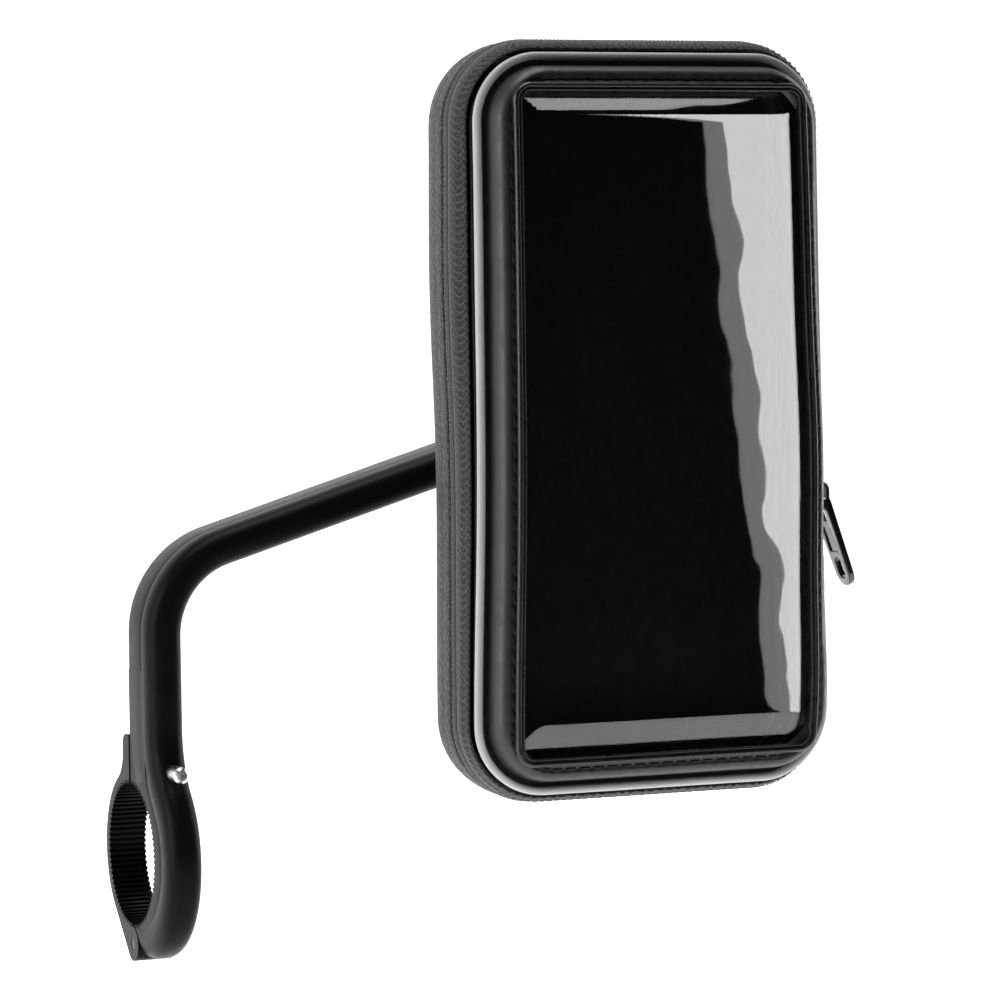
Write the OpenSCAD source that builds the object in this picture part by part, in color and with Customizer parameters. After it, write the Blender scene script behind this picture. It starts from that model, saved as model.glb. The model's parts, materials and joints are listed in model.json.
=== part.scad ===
// Phone handlebar mount: a clamp and bent arm that carry a zipped phone case on a ball joint.
// Frame: origin at the centre of the clamp bore, +X along the handlebar, +Z up,
// and -Y towards the rider, who looks at the window of the case.

/* [Clamp] */
// Diameter of the handlebar that the tooth crests grip
bar_d = 35; // [30:0.5:38]
// Width of the clamp and of the arm along the handlebar
clamp_w = 9.4; // [8:0.2:12]
// Thickness of the clamp cap around the bar
cap_t = 3; // [2.4:0.1:4]
// Number of grip teeth in each half of the clamp
teeth = 40; // [20:2:46]
// Depth of the grooves between the teeth
tooth_h = 0.8; // [0.4:0.1:1.2]
// Gap between the arm and the cap when the clamp is closed
split_gap = 0.6; // [0.4:0.1:1.2]

/* [Arm] */
// Depth of the flat part of the arm section
arm_flat = 10.8; // [9:0.2:13]
// Depth of the rounded nose of the arm section
arm_nose = 7.5; // [5:0.5:8]
// Height of the bend centre above the bar
bend_z = 54.6; // [48:0.2:70]
// Radius of the bend along the middle of the arm
bend_r = 22.5; // [18:0.5:30]
// Rise of the upper arm above level, in degrees
arm_rise = 17; // [10:1:24]
// Distance from the bar plane to the ball joint along the bar
reach = 105; // [90:1:130]

/* [Ball joint] */
// Diameter of the ball
ball_d = 17; // [15:0.5:18]
// Distance from the back of the arm to the ball centre
ball_out = 32; // [31:0.5:36]
// Outer diameter of the socket housing
housing_d = 30; // [29:0.5:32]
// Outer diameter of the turntable flange
flange_d = 40; // [38:0.5:42]

/* [Case] */
// Width of the case across the outside of the piping
case_w = 92; // [86:1:100]
// Height of the case across the outside of the piping
case_h = 178; // [165:1:190]
// How far the zipped sides bulge past the piping
bulge = 2.5; // [1:0.5:4]
// Corner radius of the piping outline
corner_r = 17.5; // [12:0.5:22]
// Height of the case centre above the ball joint
case_up = 2.7; // [0:0.1:10]
// Width of the clear window
window_w = 71.4; // [64:0.2:76]
// Height of the clear window
window_h = 156.6; // [140:0.2:164]
// Thickness of the piping
piping_d = 2.7; // [2:0.1:3.5]

/* [Zip] */
// Height of the parked slider, measured from the case centre
slider_z = -20; // [-30:1:0]
// Height of the lower end of the fabric hinge, from the case centre
hinge_low = -76; // [-78:1:-60]
// Length of the puller
puller_l = 22; // [16:0.5:26]
// Angle by which the puller stands off the side, in degrees
puller_lean = 20; // [15:1:30]

/* [Hidden] */
$fn = 96;

eps = 0.01;
// running clearance of pins and turning fits
run = 0.05;

// clamp
bar_r = bar_d / 2;
half_w = clamp_w / 2;
// the outside of the fixed half is a disc set forward of the bore
disc_off = 6;
disc_r = bar_r + 8;
// concave blend from the clamp into the upright
blend_r = 20;
arm_b = arm_flat + arm_nose;
blend_c = [-arm_b - blend_r,
    sqrt(pow(disc_r + blend_r, 2) - pow(arm_b + blend_r - disc_off, 2))];
blend_a = atan2(blend_c[1], disc_off - blend_c[0] - 2 * disc_off);
edge = 0.6;
// curved stretches are a hair slimmer than the straight ones and run this many degrees into them,
// so that no two surfaces coincide
slim = 0.01;
run_in = 0.5;
// the upright starts just above the clamp's disc
upright_z = disc_r + 0.5;
// cap hinge and clamp screw, as heights from the bore centre
pin_z = -bar_r - 5;
pin_r = 1.5;
lug_r = 4.3;
lug_gap = 0.3;
tongue_w = 4.4;
screw_z = bar_r + 4.3;
screw_r = 2;
screw_end = -arm_b - 9.2;
head_r = 3.5;
head_h = 2.2;
seat_y = 2.9;
tab_y = 5.5;
tab_top = bar_r + 12;
insert_r = 3;
insert_l = 8;

// arm path
bend_a = 90 - arm_rise;
bend_end = [bend_r - bend_r * sin(arm_rise), bend_z + bend_r * cos(arm_rise)];
joint_z = bend_end[1] + (reach - bend_end[0]) * tan(arm_rise);
upper_l = (reach - bend_end[0]) / cos(arm_rise);
boss_r = 12;
boss_y = 14;
stud_r = 3;

// ball joint, as distances in front of the arm's back face
ball_r = ball_d / 2;
neck_r = 3.5;
cup_t = 1.45;
cup_open = 5.1;
cavity_r = ball_r + cup_t + 2 * run;
housing_r = housing_d / 2;
housing_y = ball_out - 5.5;
flange_r = flange_d / 2;
flange_t = 2.5;
plate_y = ball_out + 14;
flange_y = plate_y - 0.1 - flange_t;
ring_r = flange_r + 5;
ring_t = 4.5;
collar_r = 18;
collar_l = 10;
finger_slit = 1.2;

// case levels, as distances in front of the arm's back face
plate_t = 3;
back_y = plate_y + plate_t;
floor_t = 2.2;
board_t = 1.5;
pad_t = 4;
wall_y = back_y + 11;
zip_y = back_y + 14;
slit = 1;
lip = 2.5;
tape_y = zip_y + slit / 2 + lip;
rim_y = back_y + 22.6;
piping_y = rim_y + piping_d;
pad_step_y = rim_y + 3.9;
border_y = rim_y + 6.4;
trim_y = rim_y + 7.2;
sheet_y = rim_y + 5.2;
sheet_t = 0.6;
lining_t = 0.8;
trim_w = 2.2;
wall_t = 2.5;
side_w = case_w + 2 * bulge;
side_h = case_h + 2 * bulge;
side_r = corner_r + bulge;
side_x = side_w / 2;
case_z = joint_z + case_up;
board_w = side_w - 2 * wall_t - 1;
board_h = side_h - 2 * wall_t - 1;
plate_s = 56;
plate_hole = 21;
ring_hole = flange_r + 2.6;
hinge_high = slider_z - 5.5;

// slider and puller
slider_l = 9;
slider_gap = 0.5;
slider_t = 1.5;
bridge_h = 2.95;
puller_w = 8.6;
puller_t = 1.6;
bar_pin_r = 0.75;
puller_y = zip_y - 2.6;
puller_x = side_x + 3;
puller_z = slider_z - 1.5;

// point list of a rounded rectangle centred on the origin
function rounded(w, h, r, steps = 8) = [for (q = [0:3], s = [0:steps])
    let (a = q * 90 + s * 90 / steps,
        sx = (q == 0 || q == 3) ? 1 : -1,
        sy = (q < 2) ? 1 : -1)
    [sx * (w / 2 - r) + r * cos(a), sy * (h / 2 - r) + r * sin(a)]];

// points of an arc
function arc(c, r, a0, a1, steps) = [for (s = [0:steps])
    let (a = a0 + (a1 - a0) * s / steps)
    c + r * [cos(a), sin(a)]];

// outline of the arm's nose: distance past the flat, and offset from the middle
function nose(slim = 0, steps = 12) = [for (s = [0:steps])
    let (a = 90 - 180 * s / steps)
    [(arm_nose - slim) * cos(a), (half_w - slim) * sin(a)]];

// turns an XY outline into a slab across the handlebar, lying in YZ
module across_x(w) {
    translate([-w / 2, 0, 0])
        rotate([90, 0, 90])
            linear_extrude(w)
                children();
}

// a cylinder along the handlebar
module rod_x(r, w, y = 0, z = 0) {
    translate([-w / 2, y, z])
        rotate([0, 90, 0])
            cylinder(h = w, r = r);
}

// a cylinder towards the rider, between two distances in front of the arm's back
module rod_y(r, from, to, r_end = -1) {
    translate([0, -from, 0])
        rotate([90, 0, 0])
            cylinder(h = to - from, r1 = r, r2 = r_end < 0 ? r : r_end);
}

// an XZ outline made solid between two distances in front of the arm's back
module slab(from, to) {
    translate([0, -from, 0])
        rotate([90, 0, 0])
            linear_extrude(to - from)
                children();
}

module at_joint() {
    translate([reach, 0, joint_z])
        children();
}

module at_case() {
    translate([reach, 0, case_z])
        children();
}

module frame_2d(w, h, r, t) {
    difference() {
        polygon(rounded(w, h, r));
        polygon(rounded(w - 2 * t, h - 2 * t, max(r - t, 1)));
    }
}

// ---- clamp and arm ----

// section of the arm: flat back at y = 0 with eased edges, nose towards the rider
module arm_section(slim = 0) {
    w = half_w - slim;
    polygon(concat(
        [[w, -edge], [w - edge, -slim], [-w + edge, -slim], [-w, -edge]],
        [for (p = nose(slim)) [-p[1], -arm_flat - p[0]]]));
}

// the same section as a radial profile, solid inwards to radius r_in
module rim_profile(r_out, r_in) {
    polygon(concat([[r_in, half_w]],
        [for (p = nose()) [r_out - arm_nose + p[0], p[1]]],
        [[r_in, -half_w]]));
}

module blend_profile() {
    far = blend_r + arm_b - 3;
    w = half_w - slim;
    polygon(concat([[far, w]],
        [for (p = nose(slim)) [blend_r + arm_nose - p[0], p[1]]],
        [[far, -w]]));
}

// grooves between the grip teeth of one half; side is 1 for the cap and -1 for the arm
module tooth_grooves(side) {
    pitch = 180 / teeth;
    groove_w = 0.5 * PI * bar_r / teeth;
    for (i = [1:teeth - 1])
        rotate([side * (90 - i * pitch), 0, 0])
            translate([-clamp_w, side > 0 ? bar_r - 1 : -bar_r - tooth_h, -groove_w / 2])
                cube([2 * clamp_w, 1 + tooth_h, groove_w]);
}

module fixed_jaw() {
    translate([0, -disc_off, 0])
        rotate([0, 90, 0])
            rotate([0, 0, 270 - blend_a])
                rotate_extrude(angle = blend_a + 108)
                    rim_profile(disc_r, 6);
    translate([0, blend_c[0], blend_c[1]])
        rotate([0, 90, 0])
            rotate([0, 0, 90 - blend_a - run_in])
                rotate_extrude(angle = blend_a + 2 * run_in)
                    blend_profile();
    across_x(clamp_w - 4 * slim)
        polygon([[0, 0], [0, upright_z + 0.5], [-arm_flat, upright_z + 0.5],
            [-bar_r + 1, bar_r - 6], [-bar_r, 0]]);
}

module arm_path() {
    translate([0, 0, upright_z])
        linear_extrude(bend_z - upright_z)
            arm_section();
    translate([bend_r, 0, bend_z])
        rotate([90, 0, 0])
            rotate([0, 0, 180 - bend_a - run_in])
                rotate_extrude(angle = bend_a + 2 * run_in)
                    translate([bend_r, 0])
                        mirror([0, 1])
                            arm_section(slim);
    translate([bend_end[0], 0, bend_end[1]])
        rotate([0, bend_a, 0])
            linear_extrude(upper_l)
                arm_section();
}

module clamp_arm() {
    color("#232325")
    difference() {
        union() {
            difference() {
                fixed_jaw();
                translate([-clamp_w, 0, -2 * bar_d])
                    cube([2 * clamp_w, bar_d, 4 * bar_d]);
            }
            arm_path();
            at_joint()
                rod_y(boss_r, 0, boss_y);
            rod_x(lug_r, tongue_w, 0, pin_z);
        }
        rod_x(bar_r, 2 * clamp_w);
        tooth_grooves(-1);
        for (s = [-1, 1])
            translate([s * (tongue_w / 2 + 5), 0, 0])
                rod_x(lug_r + lug_gap, 10, 0, pin_z);
        rod_x(pin_r, 2 * clamp_w, 0, pin_z);
        translate([0, 0, screw_z]) {
            rod_y(insert_r, -1, insert_l);
            rod_y(screw_r + 0.15, 0, arm_b + 10);
        }
        at_joint() {
            rod_y(stud_r + run, -1, boss_y + 1);
            rod_y(boss_r + 1.5, boss_y, arm_b + 2);
        }
    }
}

module screw_insert() {
    color("#c9a24a")
    translate([0, 0, screw_z])
        difference() {
            rod_y(insert_r, 0, insert_l);
            rod_y(screw_r + 0.03, -1, insert_l + 1);
        }
}

module hinge_pin() {
    color("#9a9a9c")
    rod_x(pin_r, clamp_w - 0.2, 0, pin_z);
}

module cap_outline() {
    fillet_r = 8;
    out_r = bar_r + cap_t;
    c = [tab_y + fillet_r, sqrt(pow(out_r + fillet_r, 2) - pow(tab_y + fillet_r, 2))];
    top_r = 2.6;
    foot_a = 50;
    lug_a = -48;
    polygon(concat(
        [[split_gap, tab_top]],
        arc([tab_y - top_r, tab_top - top_r], top_r, 90, 0, 6),
        arc(c, fillet_r, 180, 180 + atan2(c[1], c[0]), 6),
        arc([0, 0], out_r, atan2(c[1], c[0]) - 3, -foot_a, 24),
        arc([0, pin_z], lug_r, lug_a, -85, 3),
        [[split_gap, pin_z]]));
}

module clamp_cap() {
    slot_low = screw_z - 1.2;
    slot_high = screw_z + 1.9;
    // the head's pocket runs out past the fillet, which leaves a way in for the screw
    pocket_y = bar_r + cap_t;
    color("#232325")
    difference() {
        union() {
            across_x(clamp_w)
                cap_outline();
            for (s = [-1, 1])
                translate([s * (half_w + tongue_w / 2 + 0.2) / 2, 0, 0])
                    rod_x(lug_r, half_w - tongue_w / 2 - 0.2, 0, pin_z);
        }
        rod_x(bar_r, 2 * clamp_w);
        tooth_grooves(1);
        rod_x(lug_r + lug_gap, tongue_w + 0.4, 0, pin_z);
        rod_x(pin_r + run, 2 * clamp_w, 0, pin_z);
        for (z = [slot_low, slot_high])
            translate([0, 0, z]) {
                rod_y(screw_r + 0.25, -tab_y - 1, 1);
                rod_y(head_r + 0.5, -pocket_y, -seat_y);
            }
        translate([-screw_r - 0.25, -1, slot_low])
            cube([2 * screw_r + 0.5, tab_y + 2, slot_high - slot_low]);
        translate([-head_r - 0.5, seat_y, slot_low])
            cube([2 * head_r + 1, pocket_y - seat_y, slot_high - slot_low]);
    }
}

module clamp_screw() {
    tip = 0.7;
    color("#d4d4d6")
    translate([0, 0, screw_z])
        difference() {
            union() {
                rod_y(head_r, -seat_y - head_h, -seat_y);
                rod_y(screw_r, -seat_y, -screw_end - tip);
                rod_y(screw_r, -screw_end - tip, -screw_end, screw_r - tip);
            }
            translate([0, seat_y + head_h + eps, 0])
                rotate([90, 0, 0])
                    cylinder(h = 1.4, r = 1.45, $fn = 6);
        }
}

// ---- ball joint ----

module ball_stud() {
    flat_t = 3;
    nut_end = 7.5;
    color("#b9babd")
    at_joint() {
        rod_y(stud_r, -nut_end, boss_y);
        translate([0, -boss_y, 0])
            rotate([90, 0, 0])
                cylinder(h = flat_t, r = 7, $fn = 6);
        rod_y(neck_r, boss_y + flat_t - 0.5, ball_out - ball_r + 1.5);
        translate([0, -ball_out, 0])
            sphere(r = ball_r);
    }
}

module stud_washer() {
    color("#a9aaad")
    at_joint()
        difference() {
            rod_y(6, -1.2, 0);
            rod_y(stud_r + run, -2, 1);
        }
}

module stud_nut() {
    color("#b4b5b8")
    at_joint()
        difference() {
            translate([0, 6.2, 0])
                rotate([90, 0, 0])
                    cylinder(h = 5, r = 5.77, $fn = 6);
            rod_y(stud_r + 0.02, -8, 1);
        }
}

module ball_cup() {
    color("#e4e4dc")
    at_joint()
        translate([0, -ball_out, 0])
            rotate([90, 0, 0])
                rotate_extrude()
                    intersection() {
                        difference() {
                            circle(r = ball_r + cup_t + run);
                            circle(r = ball_r + run);
                        }
                        translate([0, -cup_open])
                            square([ball_d, ball_d + cup_open]);
                    }
}

module socket_housing() {
    taper = 2;
    color("#1d1d1f")
    at_joint()
        difference() {
            union() {
                rod_y(housing_r - taper, housing_y, housing_y + taper, housing_r);
                rod_y(housing_r, housing_y + taper, flange_y);
                rod_y(flange_r, flange_y, flange_y + flange_t);
            }
            translate([0, -ball_out, 0])
                sphere(r = cavity_r);
            for (a = [45, 135])
                translate([0, -housing_y - 4, 0])
                    rotate([0, a, 0])
                        cube([3 * housing_r, 9, finger_slit], center = true);
        }
}

module locking_collar() {
    grips = 12;
    lip_in = 1;
    color("#161617")
    at_joint()
        difference() {
            rod_y(collar_r, housing_y - lip_in, housing_y - lip_in + collar_l);
            rod_y(housing_r + run, housing_y + 2, housing_y + collar_l);
            rod_y(housing_r - 2 + run, housing_y, housing_y + 2 + eps, housing_r + run);
            rod_y(11.5, 0, housing_y + 1);
            for (i = [0:grips - 1])
                rotate([0, i * 360 / grips, 0])
                    translate([collar_r + 1.2, 0, 0])
                        rod_y(2.2, 0, ball_out + collar_l);
        }
}

module retaining_ring() {
    color("#1d1d1f")
    at_joint()
        difference() {
            rod_y(ring_r, plate_y - ring_t, plate_y);
            rod_y(flange_r + 0.2, flange_y - 0.1, plate_y + 1);
            rod_y(flange_r - 3, 0, plate_y);
            ring_screw_places()
                rod_y(1.3, 0, plate_y + 1);
            ring_screw_places()
                rod_y(2.3, 0, plate_y - ring_t + 1.6);
        }
}

module ring_screw_places() {
    for (a = [45:90:315])
        rotate([0, a, 0])
            translate([ring_hole, 0, 0])
                children();
}

module ring_screws() {
    color("#9c9c9f")
    at_joint()
        ring_screw_places()
            difference() {
                union() {
                    rod_y(2.1, plate_y - ring_t + 0.3, plate_y - ring_t + 1.6);
                    rod_y(1.25, plate_y - ring_t + 1.6, plate_y + 2.2);
                }
                rod_y(0.9, 0, plate_y - ring_t + 0.9);
            }
}

module back_plate() {
    color("#1b1b1d")
    difference() {
        at_joint()
            slab(plate_y, back_y)
                polygon(rounded(plate_s, plate_s, 8));
        at_joint() {
            ring_screw_places()
                rod_y(1.25, 0, plate_y + 2.3);
            plate_screw_places() {
                rod_y(1.6, 0, back_y + 1);
                rod_y(3, 0, plate_y + 1.6);
            }
        }
    }
}

module plate_screw_places() {
    for (x = [-1, 1], z = [-1, 1])
        translate([x * (plate_s / 2 - 4.2), 0, z * (plate_s / 2 - 4.2)])
            children();
}

module plate_screws() {
    color("#9c9c9f")
    at_joint()
        plate_screw_places()
            difference() {
                union() {
                    rod_y(2.8, plate_y + 0.2, plate_y + 1.6);
                    rod_y(1.5, plate_y + 1.6, back_y + floor_t + board_t);
                }
                rod_y(1, 0, plate_y + 0.9);
            }
}

// ---- case, rear half ----

module case_shell() {
    color("#2c2c2e")
    difference() {
        at_case() {
            slab(back_y, back_y + floor_t)
                polygon(rounded(side_w - 3, side_h - 3, side_r - 1.5));
            slab(back_y + floor_t, wall_y)
                frame_2d(side_w, side_h, side_r, wall_t);
        }
        at_joint()
            plate_screw_places()
                rod_y(1.6, 0, back_y + floor_t + 1);
    }
}

module backing_board() {
    color("#6f6a60")
    difference() {
        at_case()
            slab(back_y + floor_t, back_y + floor_t + board_t)
                polygon(rounded(board_w, board_h, side_r - 3));
        at_joint()
            plate_screw_places()
                rod_y(1.5, 0, back_y + 10);
    }
}

module phone_pad() {
    color("#101011")
    at_case()
        slab(back_y + floor_t + board_t, back_y + floor_t + board_t + pad_t)
            polygon(rounded(case_w - 8, case_h - 8, 12));
}

// a band round the case with its stretch at the fabric hinge left out
module zip_band(from, to, w, h, r, t) {
    difference() {
        slab(from, to)
            frame_2d(w, h, r, t);
        translate([side_x - 5, -to - 1, hinge_low])
            cube([10, to - from + 2, hinge_high - hinge_low]);
    }
}

module rear_zip_tape() {
    color("#252527")
    at_case()
        zip_band(wall_y, wall_y + lip, side_w, side_h, side_r, 1.8);
}

module hinge_fabric() {
    fabric_t = 0.8;
    color("#252527")
    at_case()
        translate([side_x + 0.1, -zip_y + 0.4, hinge_low + 1])
            cube([fabric_t, 8, hinge_high - hinge_low - 2]);
}

// ---- zip slider and puller ----

module zip_slider() {
    front = 1;
    rear = 4.2;
    inner_x = side_x - 4.6;
    inner_t = 1.2;
    neck_t = 0.5;
    bridge_w = 2.4;
    color("#0e0e0f")
    at_case()
        translate([0, -zip_y, slider_z]) {
            translate([side_x + slider_gap, -front, -slider_l / 2])
                cube([slider_t, front + rear, slider_l]);
            translate([inner_x, -neck_t / 2, -slider_l / 2 + 1.5])
                cube([side_x + slider_gap - inner_x + eps, neck_t, slider_l - 3]);
            translate([inner_x, -neck_t / 2, -slider_l / 2])
                cube([inner_t, rear - 0.6, slider_l]);
            translate([side_x + slider_gap + slider_t, puller_shift() - bridge_w / 2, 0])
                difference() {
                    translate([-eps, 0, -3.6])
                        cube([bridge_h, bridge_w, 7.2]);
                    translate([-1, -1, -2.4])
                        cube([bridge_h + 0.2, bridge_w + 2, 4.8]);
                }
        }
}

// the puller sits a little behind the zip line, over the middle of the slider
function puller_shift() = zip_y - puller_y;

module puller_outline() {
    tail_r = 3.4;
    difference() {
        union() {
            polygon([[-puller_w / 2, 0], [-puller_w / 2 + 0.9, -puller_l + tail_r],
                [puller_w / 2 - 0.9, -puller_l + tail_r], [puller_w / 2, 0]]);
            translate([0, -puller_l + tail_r])
                circle(r = tail_r);
        }
        translate([-1.8, -5.2])
            square([3.6, 5.2 + 1]);
        translate([0, -puller_l + tail_r + 2.4])
            circle(r = 1.9);
        translate([-1.9, -puller_l + tail_r])
            square([3.8, 2.4]);
        translate([0, -puller_l + tail_r])
            circle(r = 1.9);
    }
}

module zip_puller() {
    panel_l = 7.2;
    color("#141415")
    at_case()
        translate([puller_x, -puller_y, puller_z])
            rotate([0, -puller_lean, 0]) {
                difference() {
                    translate([-puller_t / 2, 0, 0])
                        rotate([90, 0, 90])
                            linear_extrude(puller_t)
                                puller_outline();
                    translate([puller_t / 2 - 0.4, -2.6, -5.2 - 1 - panel_l])
                        cube([1, 5.2, panel_l]);
                }
                rotate([90, 0, 0])
                    cylinder(h = puller_w, r = bar_pin_r, center = true);
            }
}

// ---- case, front half ----

module front_zip_tape() {
    color("#252527")
    at_case()
        zip_band(zip_y + slit / 2, tape_y, side_w, side_h, side_r, 1.8);
}

module lid_band() {
    color("#252527")
    at_case()
        slab(tape_y, rim_y)
            frame_2d(side_w - 1, side_h - 1, side_r - 0.5, 2);
}

module piping() {
    color("#c8c9cc")
    at_case()
        slab(rim_y, piping_y)
            frame_2d(case_w, case_h, corner_r, piping_d);
}

module border_pad() {
    in_w = window_w + 2 * trim_w;
    in_h = window_h + 2 * trim_w;
    out_w = case_w - 2 * piping_d;
    out_h = case_h - 2 * piping_d;
    step = 2.3;
    color("#3a3a3c")
    at_case() {
        slab(rim_y, pad_step_y)
            difference() {
                polygon(rounded(out_w, out_h, corner_r - piping_d));
                polygon(rounded(in_w, in_h, 5));
            }
        slab(pad_step_y, border_y)
            difference() {
                polygon(rounded(out_w - 2 * step, out_h - 2 * step, corner_r - piping_d - step));
                polygon(rounded(in_w, in_h, 5));
            }
    }
}

module window_trim() {
    color("#4a4a4c")
    at_case()
        slab(rim_y, trim_y)
            frame_2d(window_w + 2 * trim_w, window_h + 2 * trim_w, 5, trim_w);
}

module window_sheet() {
    color("#9fb0b8", 0.4)
    at_case()
        slab(sheet_y, sheet_y + sheet_t)
            polygon(rounded(window_w, window_h, 5 - trim_w));
}

module lid_lining() {
    color("#151516")
    at_case()
        slab(rim_y - lining_t, rim_y)
            difference() {
                polygon(rounded(side_w - 5, side_h - 5, side_r - 2.5));
                polygon(rounded(window_w, window_h, 5 - trim_w));
            }
}

clamp_arm();
screw_insert();
hinge_pin();
ball_stud();
stud_washer();
stud_nut();
clamp_cap();
clamp_screw();
ball_cup();
socket_housing();
locking_collar();
retaining_ring();
ring_screws();
back_plate();
plate_screws();
case_shell();
backing_board();
phone_pad();
rear_zip_tape();
hinge_fabric();
zip_slider();
zip_puller();
front_zip_tape();
lid_band();
border_pad();
piping();
window_trim();
window_sheet();
lid_lining();
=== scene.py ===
"""Phone handlebar mount: the looks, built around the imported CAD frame.

Lengths are in millimetres until a mesh or an object is made, and depths are distances in
front of the arm's flat back, so depth d is y = -d. Case positions are measured from the
middle of the case front, x to the right and z up.
"""
import json
import math
from bisect import bisect_right
from collections import namedtuple

import bmesh
import bpy
from mathutils import Matrix, Vector, noise


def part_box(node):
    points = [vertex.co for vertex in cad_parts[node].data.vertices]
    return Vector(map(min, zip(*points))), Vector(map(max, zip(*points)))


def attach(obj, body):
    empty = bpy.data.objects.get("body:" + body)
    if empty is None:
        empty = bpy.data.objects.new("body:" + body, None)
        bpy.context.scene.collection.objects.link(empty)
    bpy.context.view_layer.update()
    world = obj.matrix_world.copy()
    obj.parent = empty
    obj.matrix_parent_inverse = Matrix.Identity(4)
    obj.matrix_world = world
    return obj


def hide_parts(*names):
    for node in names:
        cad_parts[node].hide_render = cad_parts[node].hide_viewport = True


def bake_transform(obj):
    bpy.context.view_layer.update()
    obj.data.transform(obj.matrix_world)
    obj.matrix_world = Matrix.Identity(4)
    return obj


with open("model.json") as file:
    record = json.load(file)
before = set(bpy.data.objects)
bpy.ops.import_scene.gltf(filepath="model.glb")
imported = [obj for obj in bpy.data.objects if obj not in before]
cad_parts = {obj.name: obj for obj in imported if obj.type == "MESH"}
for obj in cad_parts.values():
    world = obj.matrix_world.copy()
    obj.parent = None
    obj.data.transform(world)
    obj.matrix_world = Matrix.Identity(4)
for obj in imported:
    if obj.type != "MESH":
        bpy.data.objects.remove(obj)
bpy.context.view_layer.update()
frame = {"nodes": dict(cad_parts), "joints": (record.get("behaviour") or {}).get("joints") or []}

MM = 0.001
TAU = 2 * math.pi


# ---- places from the frame

def span(node, axis):
    """Lowest and highest coordinate of a CAD node along an axis, in millimetres."""
    low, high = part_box(node)
    return low[axis] / MM, high[axis] / MM


def depths(node):
    """Back and front of a CAD node, as depths in front of the arm's back."""
    low, high = span(node, 1)
    return -high, -low


def size(node, axis):
    low, high = span(node, axis)
    return high - low


CASE_X = sum(span("piping", 0)) / 2
CASE_Z = sum(span("piping", 2)) / 2
PIPE_W, PIPE_H = size("piping", 0), size("piping", 2)
SIDE_W, SIDE_H = size("case_shell", 0), size("case_shell", 2)
SIDE_R = 20.0
PIPE_R = SIDE_R - (SIDE_W - PIPE_W) / 2
BACK_D, WALL_D = depths("case_shell")
REAR_LIP_D = depths("rear_zip_tape")[1]
FRONT_LIP_D, TAPE_D = depths("front_zip_tape")
RIM_D, PIPING_D = depths("piping")
TRIM_W, TRIM_H = size("window_trim", 0), size("window_trim", 2)
WINDOW_W, WINDOW_H = size("window_sheet", 0), size("window_sheet", 2)
SHEET_D = depths("window_sheet")[1]
ZIP_D = (REAR_LIP_D + FRONT_LIP_D) / 2
HINGE_LOW, HINGE_HIGH = (z - CASE_Z for z in span("hinge_fabric", 2))
JOINT_POINT = {joint["name"]: [value / MM for value in joint.get("pos_m", (0, 0, 0))]
               for joint in frame["joints"]}


def place(name, data):
    """A new object in the scene."""
    obj = bpy.data.objects.new(name, data)
    bpy.context.scene.collection.objects.link(obj)
    return obj


# ---- camera, lights and floor

# the view: degrees, millimetres, and the focal length on a 36 mm wide sensor
VIEW_AZIMUTH = -22.3
VIEW_ELEVATION = 3.0
VIEW_ROLL = -0.82
VIEW_DISTANCE = 1066.0
VIEW_AIM = (83.0, -30.2, 86.1)
FOCAL_LENGTH = 154.8


def make_camera():
    azimuth, elevation = math.radians(VIEW_AZIMUTH), math.radians(VIEW_ELEVATION)
    back = Vector((math.sin(azimuth) * math.cos(elevation),
                   -math.cos(azimuth) * math.cos(elevation),
                   math.sin(elevation)))
    right = Vector((0, 0, 1)).cross(back).normalized()
    turn = Matrix((right, back.cross(right), back)).transposed()
    turn = turn @ Matrix.Rotation(math.radians(VIEW_ROLL), 3, "Z")
    data = bpy.data.cameras.new("camera")
    data.lens = FOCAL_LENGTH
    data.clip_start, data.clip_end = 0.01, 50.0
    camera = place("camera", data)
    eye = (Vector(VIEW_AIM) + back * VIEW_DISTANCE) * MM
    camera.matrix_world = Matrix.Translation(eye) @ turn.to_4x4()
    bpy.context.scene.camera = camera


def area_light(name, spot, target, width, height, watts, roll=0.0):
    """A soft panel at `spot`, in metres, that faces `target` and is rolled by some degrees."""
    data = bpy.data.lights.new(name, "AREA")
    data.shape = "RECTANGLE"
    data.size, data.size_y = width, height
    data.energy = watts
    light = place(name, data)
    turn = (Vector(target) - Vector(spot)).to_track_quat("-Z", "Y").to_matrix().to_4x4()
    light.matrix_world = Matrix.Translation(spot) @ turn @ Matrix.Rotation(math.radians(roll), 4, "Z")
    return light


def make_lights():
    middle = (0.08, -0.03, 0.09)
    window = (0.105, -0.077, 0.106)
    area_light("left_panel", (-1.5, 0.05, 0.3), middle, 0.9, 1.5, 19)
    area_light("right_panel", (1.4, 0.1, 0.5), middle, 0.8, 1.5, 13)
    area_light("top_panel", (0.0, 0.1, 1.5), middle, 1.4, 0.8, 16)
    # seen in the clear window alone: a bright panel on the right, its dim edge, and one above
    mirrored = bpy.data.collections.new("mirrored_in")
    mirrored.objects.link(bpy.data.objects["clear_window"])
    for panel in (area_light("window_panel", (0.775, -1.08, 0.12), window, 0.30, 0.9, 5.6, 6),
                  area_light("window_edge_light", (0.6452, -1.167, 0.12), window, 0.012, 0.9, 0.055, 6),
                  area_light("window_top_light", (0.46, -0.96, 0.73), window, 0.9, 0.30, 2.6)):
        panel.light_linking.receiver_collection = mirrored
    world = bpy.data.worlds.new("studio")
    world.use_nodes = True
    background = world.node_tree.nodes["Background"]
    background.inputs["Color"].default_value = (1, 1, 1, 1)
    background.inputs["Strength"].default_value = 0.015
    bpy.context.scene.world = world
    bpy.context.scene.view_settings.view_transform = "Standard"


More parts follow.
